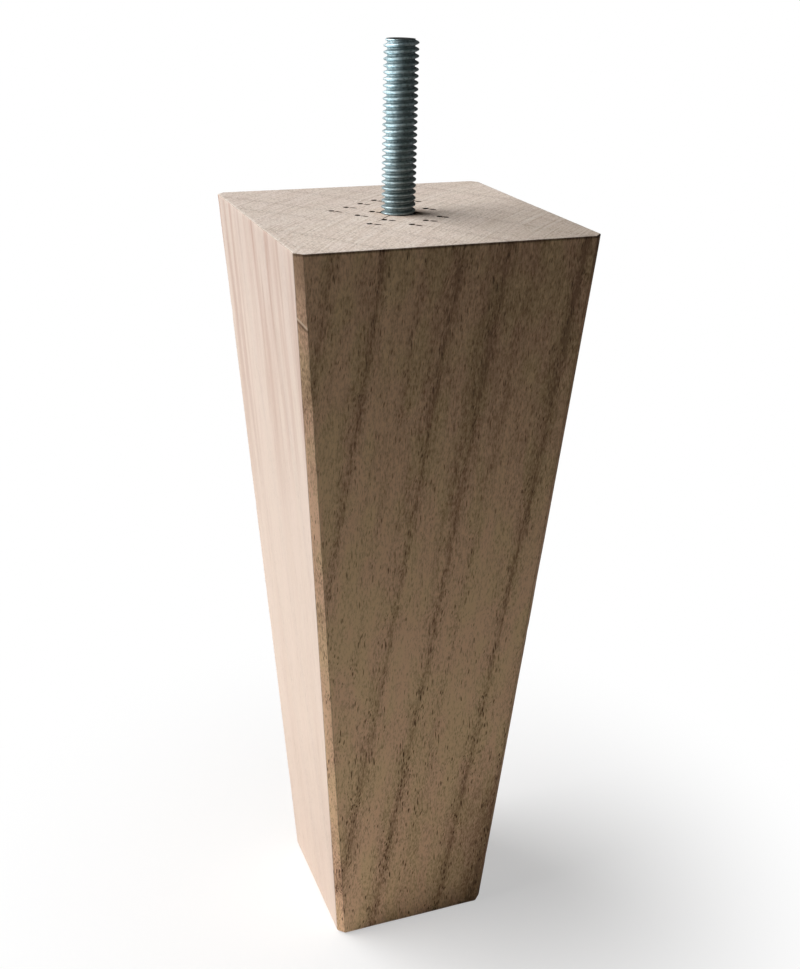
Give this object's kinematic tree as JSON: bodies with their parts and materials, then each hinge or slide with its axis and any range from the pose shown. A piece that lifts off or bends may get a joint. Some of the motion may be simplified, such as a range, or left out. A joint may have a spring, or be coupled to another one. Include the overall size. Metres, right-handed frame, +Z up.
{
  "type": "tapered furniture leg",
  "caption": "Square wooden furniture leg that tapers to a narrow foot, with planed corners and a threaded steel stud standing out of the middle of its top.",
  "frame": {"origin": "middle of the foot's underside", "axes": "+Z up the leg's axis towards the stud; the tapered faces look along +X, -X, +Y and -Y"},
  "size_m": [0.0698, 0.0698, 0.2286],
  "materials": {
    "bare_wood": "sanded, unfinished",
    "zinc_plate": "bright zinc plating"
  },
  "bodies": {
    "root": {"leg_body": "bare_wood", "hanger_bolt": "zinc_plate"}
  },
  "joints": []
}
